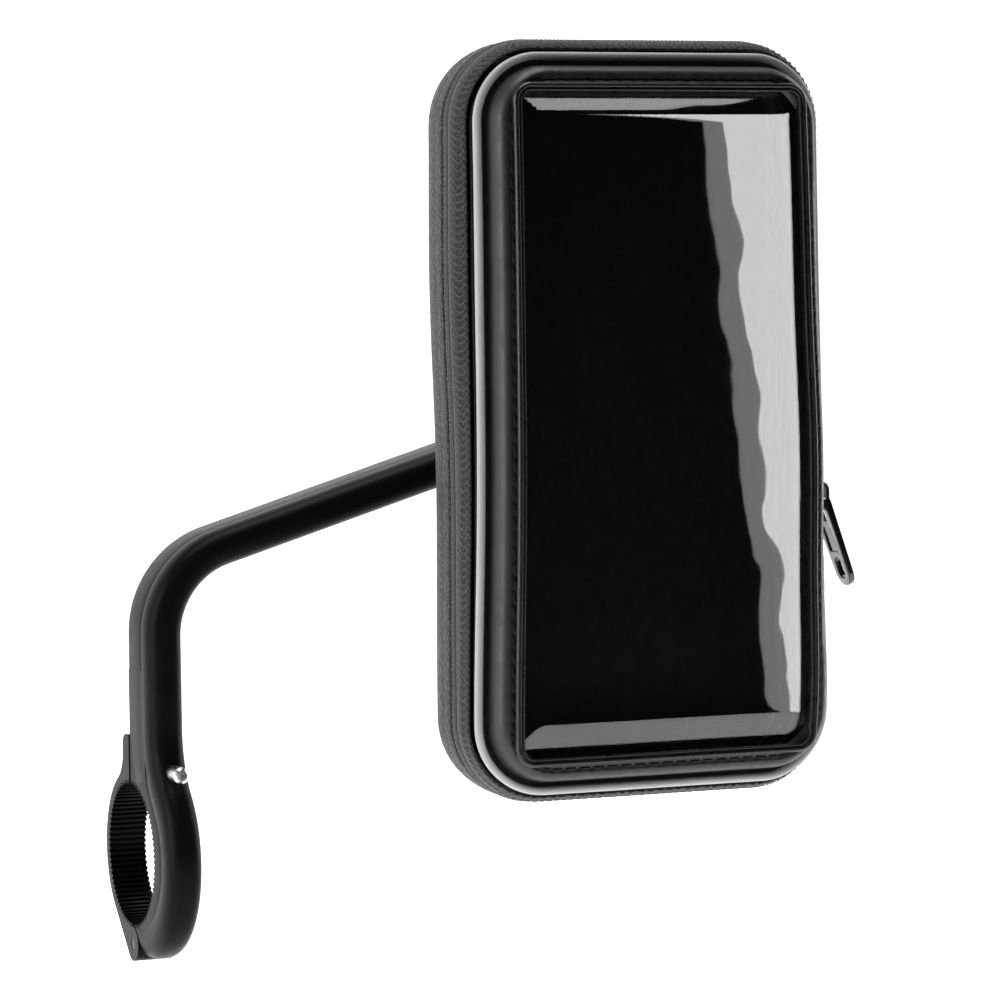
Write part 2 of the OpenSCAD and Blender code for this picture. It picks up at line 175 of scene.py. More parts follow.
def make_floor():
    """A pale floor that curves up into a wall behind the object.

    Its front stretch neither lights the object nor shows in it, so that black fronts stay dark.
    """
    drop, near, back, bend, high, half = -0.075, -0.45, 1.6, 0.6, 2.8, 4.5
    rise = [(back + bend * math.sin(a), drop + bend - bend * math.cos(a))
            for a in (math.pi / 2 * i / 16 for i in range(1, 17))]
    pale = bpy.data.materials.new("pale_floor")
    pale.use_nodes = True
    shader = pale.node_tree.nodes["Principled BSDF"]
    for label, value in (("Base Color", (0.85, 0.85, 0.85, 1)), ("Roughness", 0.9),
                         ("Specular IOR Level", 0.1), ("Emission Color", (1, 1, 1, 1)),
                         ("Emission Strength", 0.85)):
        shader.inputs[label].default_value = value
    for name, profile in (("studio_floor", [(near, drop), (back, drop)] + rise + [(back + bend, high)]),
                          ("studio_front", [(-3.0, drop), (near, drop)])):
        verts = [(x, y, z) for y, z in profile for x in (half, -half)]
        mesh = bpy.data.meshes.new(name)
        mesh.from_pydata(verts, [], grid(len(profile), 2))
        mesh.shade_smooth()
        mesh.materials.append(pale)
        floor = place(name, mesh)
        floor.visible_glossy = floor.visible_diffuse = name == "studio_floor"


# ---- materials

def put(tree, socket, value):
    """Links a socket to the one given, or sets its value."""
    if isinstance(value, bpy.types.NodeSocket):
        tree.links.new(value, socket)
    else:
        socket.default_value = value


def add(tree, kind, *inputs, **values):
    """A new shader node. Its inputs are given in order or by name, and its settings by name."""
    new = tree.nodes.new("ShaderNode" + kind)
    for name, value in values.items():
        label = name.replace("_", " ")
        if label in new.inputs:
            put(tree, new.inputs[label], value)
        else:
            setattr(new, name, value)
    for socket, value in zip(new.inputs, inputs):
        put(tree, socket, value)
    return new


def grey(value, tint=0.0):
    """A near-neutral colour; tint above 0 is a little cooler."""
    return (value, value * (1 + tint * 0.3), value * (1 + tint), 1)


def math_node(tree, operation, a, b=0.0):
    return add(tree, "Math", a, b, operation=operation).outputs[0]


def noise_height(tree, scale, detail=3.0, roughness=0.5):
    where = add(tree, "TexCoord").outputs["Object"]
    texture = add(tree, "TexNoise", Vector=where, Scale=scale, Detail=detail, Roughness=roughness)
    return texture.outputs["Fac"]


def leather_height(tree, cells, crease=0.55):
    """Pebbled leather texture: soft cells with creases between them, over a finer noise."""
    where = add(tree, "TexCoord").outputs["Object"]
    bend = add(tree, "TexNoise", Vector=where, Scale=cells * 0.6, Detail=2.0).outputs["Color"]
    spread = add(tree, "VectorMath", bend, operation="SCALE", Scale=0.5 / cells).outputs[0]
    moved = add(tree, "VectorMath", where, spread, operation="ADD").outputs[0]
    cell = add(tree, "TexVoronoi", feature="DISTANCE_TO_EDGE", Scale=cells, Vector=moved)
    steep = math_node(tree, "MULTIPLY", cell.outputs["Distance"], 4.0)
    ridge = math_node(tree, "MINIMUM", steep, 1.0)
    fine = noise_height(tree, cells * 3.5, 2.0)
    return math_node(tree, "ADD", math_node(tree, "MULTIPLY", ridge, crease),
                     math_node(tree, "MULTIPLY", fine, 1 - crease))


def twill_height(tree, pitch, row, slope=1.0):
    """Herringbone threads; UV is in millimetres, along the tape and across it."""
    split = add(tree, "SeparateXYZ", add(tree, "UVMap").outputs["UV"])
    across = math_node(tree, "PINGPONG", math_node(tree, "DIVIDE", split.outputs["Y"], row), 1.0)
    lean = math_node(tree, "MULTIPLY", across, slope * row / pitch)
    phase = math_node(tree, "ADD", math_node(tree, "DIVIDE", split.outputs["X"], pitch), lean)
    thread = math_node(tree, "SINE", math_node(tree, "MULTIPLY", phase, TAU))
    fuzz = noise_height(tree, 2400.0, 4.0, 0.7)
    return math_node(tree, "ADD", math_node(tree, "MULTIPLY", thread, 0.16), fuzz)


def weave_height(tree, pitch):
    """Plain weave seen from the front or the back."""
    split = add(tree, "SeparateXYZ", add(tree, "TexCoord").outputs["Object"])
    turns = TAU / (pitch * MM)
    warp, weft = (math_node(tree, "SINE", math_node(tree, "MULTIPLY", split.outputs[axis], turns))
                  for axis in ("X", "Z"))
    fuzz = noise_height(tree, 4200.0, 2.0)
    crossed = math_node(tree, "MULTIPLY", warp, weft)
    return math_node(tree, "ADD", math_node(tree, "MULTIPLY", crossed, 0.4), fuzz)


def finish(name, colour, roughness, relief, depth=0.05, patch=90.0, vary=0.25, rough_vary=0.12,
           grain=0.0, **sockets):
    """A Principled material whose colour and roughness drift in patches.

    relief is (height function, its values) and gives the bump, depth its size in millimetres,
    patch the scale of the drift, and the hollow shade how much darker the bump's hollows are painted
    than its tops: painted shade in the hollows and painted light on the tops.
    """
    material = bpy.data.materials.new(name)
    material.use_nodes = True
    tree = material.node_tree
    shader = tree.nodes["Principled BSDF"]
    tone = add(tree, "ValToRGB", Fac=noise_height(tree, patch, 4.0, 0.6))
    for element, position, share in zip(tone.color_ramp.elements, (0.3, 0.7), (1 - vary, 1 + vary)):
        element.position = position
        element.color = (*(channel * share for channel in colour[:3]), 1)
    tint = tone.outputs["Color"]
    height, *values = relief
    height = height(tree, *values)
    # painted shade and painted light: the base colour is darkened in the bump's hollows and lightened
    # on its tops
    if grain:
        tops = add(tree, "MapRange", Value=height, From_Min=0.25, From_Max=0.9,
                   To_Min=1 - grain, To_Max=1 + grain).outputs[0]
        tint = add(tree, "VectorMath", tint, operation="SCALE", Scale=tops).outputs[0]
    uneven = add(tree, "MapRange", Value=noise_height(tree, patch * 4, 3.0, 0.6),
                 From_Min=0.3, From_Max=0.7, To_Min=max(roughness - rough_vary, 0.02),
                 To_Max=min(roughness + rough_vary, 1.0))
    bump = add(tree, "Bump", Strength=1.0, Distance=depth * MM, Height=height)
    sockets.update(Base_Color=tint, Roughness=uneven.outputs[0], Normal=bump.outputs["Normal"])
    for label, value in sockets.items():
        put(tree, shader.inputs[label.replace("_", " ")], value)
    return material


def clear_film():
    """Glossy clear sheet: what is behind it shows, under the mirror of the lights."""
    material = bpy.data.materials.new("clear_film")
    material.use_nodes = True
    tree = material.node_tree
    tree.nodes.remove(tree.nodes["Principled BSDF"])
    out = tree.nodes["Material Output"]
    through = add(tree, "BsdfTransparent", Color=(0.93, 0.94, 0.95, 1)).outputs[0]
    mirror = add(tree, "BsdfGlossy", Color=(1, 1, 1, 1), Roughness=0.012).outputs[0]
    share = add(tree, "Fresnel", IOR=1.54).outputs[0]
    put(tree, out.inputs["Surface"], add(tree, "MixShader", share, through, mirror).outputs[0])
    return material


def make_materials():
    noise_of, leather, twill, weave = noise_height, leather_height, twill_height, weave_height
    cloth = {"Specular_IOR_Level": 0.3, "Sheen_Weight": 0.25, "Sheen_Roughness": 0.5}
    metal = {"Metallic": 1.0, "vary": 0.15}
    enamel = {"Specular_IOR_Level": 0.6, "Coat_Weight": 0.5, "Coat_Roughness": 0.08}
    # key, name, colour, roughness, bump and its depth, what differs from the usual
    table = (
        ("arm", "arm_nylon", grey(0.0050, 0.03), 0.33, (noise_of, 2300.0), 0.060,
         {"vary": 0.1, "rough_vary": 0.03, "IOR": 1.14}),
        ("joint", "joint_plastic", grey(0.010, 0.03), 0.45, (noise_of, 3200.0), 0.03, {}),
        ("screw", "screw_steel", grey(0.72), 0.24, (noise_of, 1500.0, 2.0), 0.012,
         {**metal, "vary": 0.12}),
        ("steel", "stud_steel", grey(0.46), 0.3, (noise_of, 1700.0, 2.0), 0.012, metal),
        ("blackened", "blackened_steel", grey(0.05), 0.42, (noise_of, 1700.0, 2.0), 0.02, metal),
        ("brass", "insert_brass", (0.62, 0.43, 0.16, 1), 0.3, (noise_of, 1800.0, 2.0), 0.015,
         {"Metallic": 1.0}),
        ("cup", "cup_acetal", (0.72, 0.70, 0.63, 1), 0.35, (noise_of, 1500.0, 2.0), 0.012,
         {"vary": 0.05}),
        ("card", "backing_card", (0.30, 0.27, 0.22, 1), 0.85, (noise_of, 1300.0, 4.0), 0.05, {}),
        ("leather", "case_leatherette", grey(0.026, 0.02), 0.5, (leather, 720.0), 0.42,
         {"patch": 200.0, "vary": 0.12, "grain": 0.7, "Specular_IOR_Level": 0.45}),
        ("border", "border_leatherette", grey(0.026, 0.02), 0.42, (noise_of, 1500.0), 0.03,
         {"vary": 0.12, "Specular_IOR_Level": 0.45}),
        # painted shade: the folded edge gets a darker colour than the border's leatherette so that its
        # inner wall beside the window reads black
        ("trim", "trim_vinyl", grey(0.010, 0.02), 0.33, (noise_of, 1800.0), 0.03, {"vary": 0.15}),
        ("tape", "zip_tape", grey(0.026, 0.02), 0.7, (twill, 0.75, 1.5), 0.16, {"grain": 0.5, **cloth}),
        ("band", "band_twill", grey(0.030, 0.02), 0.62, (twill, 1.75, 1.5, 0.8), 0.36,
         {"patch": 200.0, "vary": 0.12, "grain": 0.7, **cloth}),
        ("thread", "black_thread", grey(0.004, 0.02), 0.6, (noise_of, 4500.0, 2.0), 0.05,
         {"Specular_IOR_Level": 0.3}),
        ("pale_thread", "band_thread", grey(0.085, 0.02), 0.6, (noise_of, 3500.0, 2.0), 0.08,
         {"vary": 0.5, "patch": 1400.0, **cloth}),
        ("coil", "coil_nylon", grey(0.004, 0.02), 0.4, (noise_of, 2500.0, 2.0), 0.02, {}),
        ("piping", "reflective_piping", grey(0.50, 0.02), 0.5, (noise_of, 3600.0), 0.018,
         {"vary": 0.05}),
        ("enamel", "zip_enamel", grey(0.006, 0.02), 0.2, (noise_of, 900.0, 2.0), 0.008,
         {"vary": 0.2, **enamel}),
        ("pad", "pad_knit", grey(0.004), 0.9, (weave, 0.9), 0.10, {"grain": 0.4, **cloth}),
        ("lining", "lining_weave", grey(0.008), 0.8, (weave, 0.6), 0.08, {"grain": 0.4, **cloth}),
    )
    materials = {key: finish(*values, **special) for key, *values, special in table}
    materials["film"] = clear_film()
    return materials


# ---- mesh helpers

def new_object(name, verts, faces, uvs=None, sharp=None):
    """An object from points in millimetres. uvs has one corner list for each face."""
    mesh = bpy.data.meshes.new(name)
    mesh.from_pydata([Vector(v) * MM for v in verts], [], faces)
    if uvs:
        layer = mesh.uv_layers.new(name="UVMap")
        corners = [corner for face in uvs for corner in face]
        layer.data.foreach_set("uv", [value for corner in corners for value in corner])
    obj = place(name, mesh)
    face_outwards(obj)
    shade(obj, sharp)
    return obj


def face_outwards(obj, weld=0.0):
    """Turns the faces outwards, once points closer than `weld` millimetres are merged."""
    work = bmesh.new()
    work.from_mesh(obj.data)
    if weld:
        bmesh.ops.remove_doubles(work, verts=work.verts, dist=weld * MM)
    bmesh.ops.recalc_face_normals(work, faces=work.faces)
    work.to_mesh(obj.data)
    work.free()


def shade(obj, sharp=None):
    """Smooth shading, with edges sharper than `sharp` degrees kept."""
    obj.data.shade_smooth()
    if sharp:
        obj.data.set_sharp_from_angle(angle=math.radians(sharp))


def dress(obj, material, body, slot, *nodes):
    """Gives a piece its material and the body it rides on, and hides the CAD nodes it stands for; slot
    is not used.
    """
    obj.data.materials.clear()
    obj.data.materials.append(MATERIAL[material])
    if body:
        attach(obj, body)
    if nodes:
        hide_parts(*nodes)
    return obj


def evaluated(obj):
    """The mesh of an object with its modifiers or its curve applied."""
    bpy.context.view_layer.update()
    return bpy.data.meshes.new_from_object(obj.evaluated_get(bpy.context.evaluated_depsgraph_get()))


def join(name, parts):
    """One object from several."""
    work = bmesh.new()
    for part in parts:
        part.data.transform(part.matrix_world)
        work.from_mesh(part.data)
    mesh = bpy.data.meshes.new(name)
    work.to_mesh(mesh)
    work.free()
    for part in parts:
        bpy.data.objects.remove(part)
    return place(name, mesh)


def grid(rows, columns, wrap_rows=False, wrap_columns=False):
    """Faces of rows of points. A wrapped side is joined from its last points to its first."""
    faces = []
    for i in range(rows if wrap_rows else rows - 1):
        for k in range(columns if wrap_columns else columns - 1):
            j, m = (i + 1) % rows * columns, (k + 1) % columns
            faces.append((i * columns + k, j + k, j + m, i * columns + m))
    return faces


def capped(rings, points):
    """Faces of a closed solid of rings, with a flat cap at each end."""
    ends = [tuple(range(first, first + points)) for first in (0, (rings - 1) * points)]
    return grid(rings, points, False, True) + ends


def two_layers(rows, columns, wrap=False):
    """Faces of two layers of points, and of the rim between them."""
    layer = rows * columns
    faces = grid(rows, columns, wrap)
    faces += [tuple(layer + v for v in face) for face in faces]
    rim = [(i * columns + k, (i + 1) % rows * columns + k)
           for i in range(rows if wrap else rows - 1) for k in (0, columns - 1)]
    if not wrap:
        rim += [(row + k, row + k + 1) for row in (0, (rows - 1) * columns) for k in range(columns - 1)]
    return faces + [(a, b, layer + b, layer + a) for a, b in rim]


def spread(low, high, count):
    """Evenly spread values from low to high."""
    return [low + (high - low) * i / (count - 1) for i in range(count)]


def from_depth(base, *points):
    """Points of a section, (outwards, depth), with their depths counted from a base."""
    return [(out, base + d) for out, d in points]


Station = namedtuple("Station", "x z nx nz s")


def rounded_path(w, h, r, step, start=0.0, end=None):
    """Stations round a rounded rectangle, anticlockwise from height `start` on its right side.

    The path closes on itself, or stops at height `end` on the same side. A station has the
    outward normal and the distance travelled.
    """
    half_w, half_h = w / 2 - r, h / 2 - r
    stations = []
    travelled = 0.0

    def stretch(length, fewest, station):
        nonlocal travelled
        count = max(fewest, round(length / step))
        for i in range(count):
            stations.append(Station(*station(i / count), travelled + length * i / count))
        travelled += length

    def line(x0, z0, x1, z1):
        length = math.hypot(x1 - x0, z1 - z0)
        nx, nz = (z1 - z0) / length, (x0 - x1) / length
        stretch(length, 1, lambda t: (x0 + (x1 - x0) * t, z0 + (z1 - z0) * t, nx, nz))

    def corner(x, z, quarter):
        def station(t):
            a = math.pi / 2 * (quarter + t)
            return x + r * math.cos(a), z + r * math.sin(a), math.cos(a), math.sin(a)
        stretch(r * math.pi / 2, 6, station)

    line(w / 2, start, w / 2, half_h)
    corner(half_w, half_h, 0)
    line(half_w, h / 2, -half_w, h / 2)
    corner(-half_w, half_h, 1)
    line(-w / 2, half_h, -w / 2, -half_h)
    corner(-half_w, -half_h, 2)
    line(-half_w, -h / 2, half_w, -h / 2)
    corner(half_w, -half_h, 3)
    line(w / 2, -half_h, w / 2, start if end is None else end)
    if end is not None:
        stations.append(Station(w / 2, end, 1, 0, travelled))
    return stations


Bow = namedtuple("Bow", "side amount z reach")

# where the sewn sides and the border bow: on which side of the case, how far to the right, at
# what height and over what height
REAR_BOWS = [Bow(-1, 0.6, -12, 38), Bow(-1, -0.5, 34, 30), Bow(1, -1.1, 0, 300)]
FRONT_BOWS = [Bow(-1, 0.4, 30, 50), Bow(-1, -1.7, -75, 38), Bow(1, -0.3, 45, 40),
              Bow(1, -0.4, -20, 30), Bow(1, 1.1, -68, 22), Bow(1, -1.1, 0, 300)]
BORDER_BOWS = [Bow(1, 2.0, 45, 40), Bow(1, 1.6, 0, 28), Bow(1, 2.8, -25, 32), Bow(1, 1.4, -62, 25)]
# the padded border and the window sit a little to the right of the piping
BORDER_LEAN = 0.9
# the rear half is a little shorter at the bottom than the front half
REAR_LIFT = 1.0
# how far the sewn surfaces wander, and over what distance
WANDER = 0.12
WANDER_REACH = 42.0


def ramp(value):
    """A smooth step from 0 to 1."""
    value = min(max(value, 0.0), 1.0)
    return value * value * (3 - 2 * value)


def bow(bows, x, z):
    return sum(one.amount * min(1.0, max(0.0, one.side * 2 * x / PIPE_W))
               * math.exp(-((z - one.z) / one.reach) ** 2) for one in bows)


def soft(x, z, d):
    """A point of the case, moved as the sewn sides bow and wander."""
    ahead = ramp((d - TAPE_D) / (PIPING_D - TAPE_D))
    raised = ramp((d - RIM_D) / 5)
    moved = x + bow(REAR_BOWS, x, z) * (1 - ahead) + bow(FRONT_BOWS, x, z) * ahead
    moved += (BORDER_LEAN + bow(BORDER_BOWS, x, z)) * raised
    lifted = z + REAR_LIFT * (1 - ahead) * ramp(-z / (PIPE_H / 2))
    at = Vector((x, z, d)) / WANDER_REACH
    moved += WANDER * noise.noise(at)
    lifted += WANDER * noise.noise(at + Vector((31, 17, 5)))
    return Vector((CASE_X + moved, -d, CASE_Z + lifted))


def swept(path, profile, shift=None):
    """Points of a section, (outwards, depth), at each station of a path.

    shift(s, k, out, d) moves point k of the section at distance s along the path.
    """
    points = []
    for st in path:
        for k, (out, d) in enumerate(profile):
            if shift:
                out, d = shift(st.s, k, out, d)
            points.append(soft(st.x + out * st.nx, st.z + out * st.nz, d))
    return points


def fill_in(verts, faces, path, profile, end, shares, depth):
    """Fills the middle of a swept section from its point `end`, with rings of smaller shares."""
    ring = [i * len(profile) + end for i in range(len(path))]
    out = profile[end][0]
    for share in shares:
        new_ring = list(range(len(verts), len(verts) + len(path)))
        for st in path:
            x, z = (st.x + out * st.nx) * share, (st.z + out * st.nz) * share
            verts.append(soft(x, z, depth(x, z)))
        for i in range(len(path)):
            j = (i + 1) % len(path)
            faces.append((ring[i], ring[j], new_ring[j], new_ring[i]))
        ring = new_ring
    faces.append(tuple(ring))


def band(name, path, profile, closed=True, shift=None):
    """A tube whose closed section is `profile`, swept along a path. UV is in millimetres."""
    points, count = len(profile), len(path)
    across = [0.0]
    for a, b in zip(profile, profile[1:] + profile[:1]):
        across.append(across[-1] + math.hypot(a[0] - b[0], a[1] - b[1]))
    faces = grid(count, points, True, True) if closed else capped(count, points)
    uvs = []
    step = path[1].s - path[0].s
    for i in range(count if closed else count - 1):
        s0 = path[i].s
        s1 = path[i + 1].s if i + 1 < count else s0 + step
        uvs += [((s0, across[k]), (s1, across[k]), (s1, across[k + 1]), (s0, across[k + 1]))
                for k in range(points)]
    if not closed:
        uvs += [tuple((path[i].s, across[k]) for k in range(points)) for i in (0, count - 1)]
    return new_object(name, swept(path, profile, shift), faces, uvs)


def circle(radius, points, x=0.0, y=0.0):
    turns = [TAU * k / points for k in range(points)]
    return [(x + radius * math.cos(a), y + radius * math.sin(a)) for a in turns]


def many_tubes(name, paths, radius, sides=6):
    """One object of capped tubes along lists of points, such as stitches or teeth."""
    verts, faces = [], []
    for path in paths:
        base, normal = len(verts), None
        for i, p in enumerate(path):
            along = (path[min(i + 1, len(path) - 1)] - path[max(i - 1, 0)]).normalized()
            if normal is None:
                normal = along.orthogonal().normalized()
            normal = (normal - along * normal.dot(along)).normalized()
            other = along.cross(normal)
            verts += [p + normal * a + other * b for a, b in circle(radius, sides)]
        faces += [tuple(base + v for v in face) for face in capped(len(path), sides)]
    return new_object(name, verts, faces, sharp=50)


def station_at(path, s, closed=True):
    """x, z and the outward normal at distance s along a path."""
    total = path[-1].s + (path[1].s - path[0].s if closed else 0)
    s = s % total if closed else min(max(s, 0), total)
    last = len(path) - (1 if closed else 2)
    low = min(bisect_right(path, s, key=lambda st: st.s) - 1, last)
    a, b = path[low], path[(low + 1) % len(path)]
    t = (s - a.s) / ((b.s if b.s > a.s else total) - a.s)
    return [p + (q - p) * t for p, q in zip(a[:4], b[:4])]


def along(path, s, out, d, closed=True):
    """The point at distance s along a path, pushed outwards, at a depth."""
    x, z, nx, nz = station_at(path, s, closed)
    return soft(x + out * nx, z + out * nz, d)


# ---- case, rear half

def make_case_back():
    """Moulded rear half: one skin round the back, the walls and the inside floor."""
    path = rounded_path(SIDE_W, SIDE_H, SIDE_R, 2.5)
    floor_d = BACK_D + 2.2
    profile = from_depth(BACK_D, (-13.0, 0), (-8.0, 0), (-5.0, 0.05), (-3.0, 0.5), (-1.4, 1.5),
                         (-0.4, 3.0), (-0.05, 5.0), (0.15, 7.0), (0.1, 9.0))
    profile += from_depth(WALL_D, (0.0, -0.6), (-0.3, 0), (-2.1, 0), (-2.5, -0.4))
    profile += from_depth(floor_d, (-2.5, 3.0), (-2.9, 1.0), (-3.9, 0.1), (-8.0, 0), (-13.0, 0))
    verts = swept(path, profile)
    faces = grid(len(path), len(profile), True)
    for end, middle_d in ((0, BACK_D), (len(profile) - 1, floor_d)):
        fill_in(verts, faces, path, profile, end, (0.8, 0.55, 0.3), lambda x, z: middle_d)
    back = new_object("case_back", verts, faces)
    dress(back, "leather", "case", "case_leatherette", "case_shell")


def zip_path(step):
    """The zipped stretch of the side, from above the hinge round to below it."""
    return rounded_path(SIDE_W, SIDE_H, SIDE_R, step, HINGE_HIGH + 1, HINGE_LOW - 1)


def make_zip():
    path = zip_path(0.8)
    rear = from_depth(WALL_D, (-1.8, -0.2), (-0.2, -1.6), (0.10, -1.7), (0.22, -1.2), (0.26, 0))
    rear += from_depth(REAR_LIP_D, (0.24, -1.2), (0.14, -0.75), (-0.25, -0.5), (-1.0, -0.4),
                       (-1.8, -0.6))
    tape = band("rear_tape", path, rear, closed=False)
    dress(tape, "leather", "case", "zip_fabric", "rear_zip_tape")
    front = [(-1.8, TAPE_D), (0.1, TAPE_D)]
    front += from_depth(FRONT_LIP_D, (0.22, 1.4), (0.15, 0.8), (-0.1, 0.4), (-0.5, 0.1), (-1.0, 0),
                        (-1.8, 0.4))
    tape = band("front_tape", path, front, closed=False)
    dress(tape, "tape", "lid", "zip_fabric", "front_zip_tape")


def make_coils():
    """Two rows of nylon coil teeth that mesh behind the slit."""
    pitch = 1.4
    path = zip_path(1.2)
    for name, body, lip, side, offset in (("rear_coil", "case", REAR_LIP_D, 1, 0.0),
                                          ("front_coil", "lid", FRONT_LIP_D, -1, 0.5)):
        foot, head = lip - side * 1.0, ZIP_D + side * 0.75
        tooth = ((-0.25, -1.15, foot), (-0.12, -1.0, ZIP_D), (0.0, -1.25, head), (0.12, -2.1, head),
                 (0.2, -2.3, ZIP_D), (0.25, -2.2, foot))
        places = ((i + 0.25 + offset) * pitch for i in range(int(path[-1].s / pitch)))
        teeth = [[along(path, s + ahead, out, d, False) for ahead, out, d in tooth] for s in places]
        dress(many_tubes(name, teeth, 0.3), "coil", body, "zip_fabric")


# the stretch of the hinge strip that stands out beside the piping
BUCKLE_Z, BUCKLE_REACH = -40.0, 9.5


def make_hinge():
    """The unzipped stretch of side: one strip of twill from the rear wall to the front band."""
    low, high = HINGE_LOW - 1.5, HINGE_HIGH + 1.5
    start_d, end_d = WALL_D - 3.0, TAPE_D + 3.7
    wide, tall = end_d - start_d, high - low
    rows, columns = 31, 27
    verts, uv_of = [], []
    for thick in (0.0, 0.45):
        for z in spread(low, high, rows):
            buckle = 1.3 * math.exp(-((z - BUCKLE_Z) / BUCKLE_REACH) ** 4)
            for t in spread(0, 1, columns):
                d = start_d + wide * t
                inward = max(0.0, d - TAPE_D) / (end_d - TAPE_D)
                out = 0.35 - 0.75 * inward ** 2 + buckle * math.sin(math.pi * t ** 2)
                out += 0.05 * math.sin(TAU * z / 6.3) - thick
                verts.append(soft(SIDE_W / 2 + out, z, d))
                uv_of.append((z - low, wide * t))
    faces = two_layers(rows, columns)
    uvs = [tuple(uv_of[v] for v in face) for face in faces]
    strip = new_object("hinge_strip", verts, faces, uvs)
    dress(strip, "tape", None, "zip_fabric", "hinge_fabric")
    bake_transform(strip)


def make_pad():
    """Foam pad under knitted cloth that the phone lies on."""
    w, h = size("phone_pad", 0), size("phone_pad", 2)
    back, front = depths("phone_pad")
    path = rounded_path(w, h, 12.0, 3.0)
    profile = from_depth(back, (-1.0, 0), (-0.3, 0.4), (0.0, 1.4), (-0.3, 2.6))
    profile += from_depth(front, (-1.3, -0.5), (-3.0, -0.1), (-6.0, 0), (-11.0, 0))
    verts = swept(path, profile)
    faces = grid(len(path), len(profile), True)
    fill_in(verts, faces, path, profile, len(profile) - 1, (0.8, 0.6, 0.4, 0.2),
            lambda x, z: front - 0.25 * noise.noise(Vector((x, z, 0)) / 14))
    faces.append(tuple(i * len(profile) for i in range(len(path))))
    pad = new_object("foam_pad", verts, faces)
    dress(pad, "pad", "case", "pad_foam", "phone_pad")


# ---- case, front half

# how long a scallop of the band's edge is, and how far apart its stitches are
SCALLOP = 2.5
CHEVRON_PITCH = 1.85


def make_front_band():
    """Twill band from the zip to the piping, its front edge whipped into scallops."""
    path = rounded_path(SIDE_W, SIDE_H, SIDE_R, 0.5)
    reach = RIM_D - TAPE_D
    outer = [(0.10, 0.0), (0.05, 0.12), (-0.05, 0.25), (-0.25, 0.38), (-0.5, 0.5), (-0.85, 0.62),
             (-1.25, 0.74), (-1.7, 0.86), (-2.0, 0.93), (-2.22, 0.93)]
    inner = [(-2.4, 0.82), (-2.4, 0.6), (-2.3, 0.4), (-1.9, 0.2), (-1.8, 0.0)]
    profile = [(out, TAPE_D + reach * share) for out, share in outer + inner]
    edge = (6, 7, 8, 9)

    def scallop(s, k, out, d):
        if k in edge:
            lobe = abs(math.sin(math.pi * s / SCALLOP))
            weight = (edge.index(k) + 1) / len(edge)
            out += (0.42 * lobe - 0.12) * weight
            d += 0.36 * weight * lobe
        return out, d

    dress(band("front_band", path, profile, shift=scallop), "band", "lid", "zip_fabric", "lid_band")
    total = path[-1].s + 0.5
    count = round(total / CHEVRON_PITCH)
    chevron = ((-0.55, -0.22, 0.42), (0.35, -0.42, 0.56), (0.75, -0.82, 0.70), (0.35, -1.22, 0.82),
               (-0.55, -1.66, 0.93))
    stitches = [[along(path, i * total / count + ahead, out, TAPE_D + reach * share)
                 for ahead, out, share in chevron] for i in range(count)]
    dress(many_tubes("band_stitches", stitches, 0.13), "pale_thread", "lid", "zip_fabric")


def make_edge_cord():
    """Twisted cord laid along the front lip of the zip."""
    path = zip_path(0.35)
    lay, strands, radius = 2.2, 2, 0.42
    points = 12
    centre = (0.02, FRONT_LIP_D + 0.55)
    profile = circle(radius, points, *centre)

    def twist(s, k, out, d):
        swell = 1 + 0.2 * math.cos(strands * (TAU * k / points - TAU * s / lay))
        return centre[0] + (out - centre[0]) * swell, centre[1] + (d - centre[1]) * swell

    dress(band("lip_cord", path, profile, False, twist), "pale_thread", "lid", "zip_fabric")


# the piping's cord: how thick it is, and how far its middle lies inside the case front's edge
PIPE_THICK = 1.95
PIPE_IN = 1.5


def make_piping():
    path = rounded_path(PIPE_W, PIPE_H, PIPE_R, 1.2)
    cord = circle(PIPE_THICK / 2, 18, -PIPE_IN, (RIM_D + PIPING_D) / 2)
    dress(band("reflective_piping", path, cord), "piping", "lid", "reflective_piping", "piping")


# the border's stitch line: how far inwards and in front of the rim, its pitch and its thread
STITCH_IN = 7.15
STITCH_H = 6.9
STITCH_PITCH = 3.5
THREAD_R = 0.3
# how far the folded edge of the window stands in front of the rim
CREST_H = 8.7
# how much slimmer the border's crown is on the right, and over what length it gets there
SLIMMER, SLIMMER_REACH = 1.1, 40.0


def make_border():
    """Padded leatherette ring: a crown beside the piping, drawn down along its stitches."""
    step = 0.5
    path = rounded_path(PIPE_W, PIPE_H, PIPE_R, step)
    total = path[-1].s + step
    count = round(total / STITCH_PITCH)
    pitch = total / count
    profile = from_depth(RIM_D, (-3.8, 0.2), (-3.8, 1.6), (-3.85, 2.9), (-4.0, 4.0), (-4.3, 5.1),
                         (-4.75, 6.0), (-5.3, 6.65), (-5.8, 6.95), (-6.25, 7.05), (-6.7, 6.98),
                         (-STITCH_IN, STITCH_H), (-7.5, 7.05), (-7.8, 7.4), (-8.1, 7.7),
                         (-8.3, 1.0), (-8.0, 0.1))
    pull = {8: 0.04, 9: 0.14, 10: 0.24, 11: 0.12, 12: 0.03}
    slope, straight = 8, PIPE_H / 2 - PIPE_R

    def sewn(s, k, out, d):
        if k in pull:
            d -= pull[k] * (0.5 + 0.5 * math.cos(TAU * s / pitch))
        if k < slope and (s < straight or s > total - straight):
            out -= SLIMMER * ramp((straight - min(s, total - s)) / SLIMMER_REACH) * k / slope
        return out, d

    border = band("padded_border", path, profile, shift=sewn)
    dress(border, "border", "lid", "border_leatherette", "border_pad")

    run = ((0.12, -0.4), (0.22, 0.0), (0.5, 0.10), (0.78, 0.0), (0.88, -0.4))
    stitches = [[along(path, (i + share) * pitch, -STITCH_IN, RIM_D + STITCH_H + lift)
                 for share, lift in run] for i in range(count)]
    dress(many_tubes("border_stitches", stitches, THREAD_R, 8), "thread", "lid", "border_leatherette")


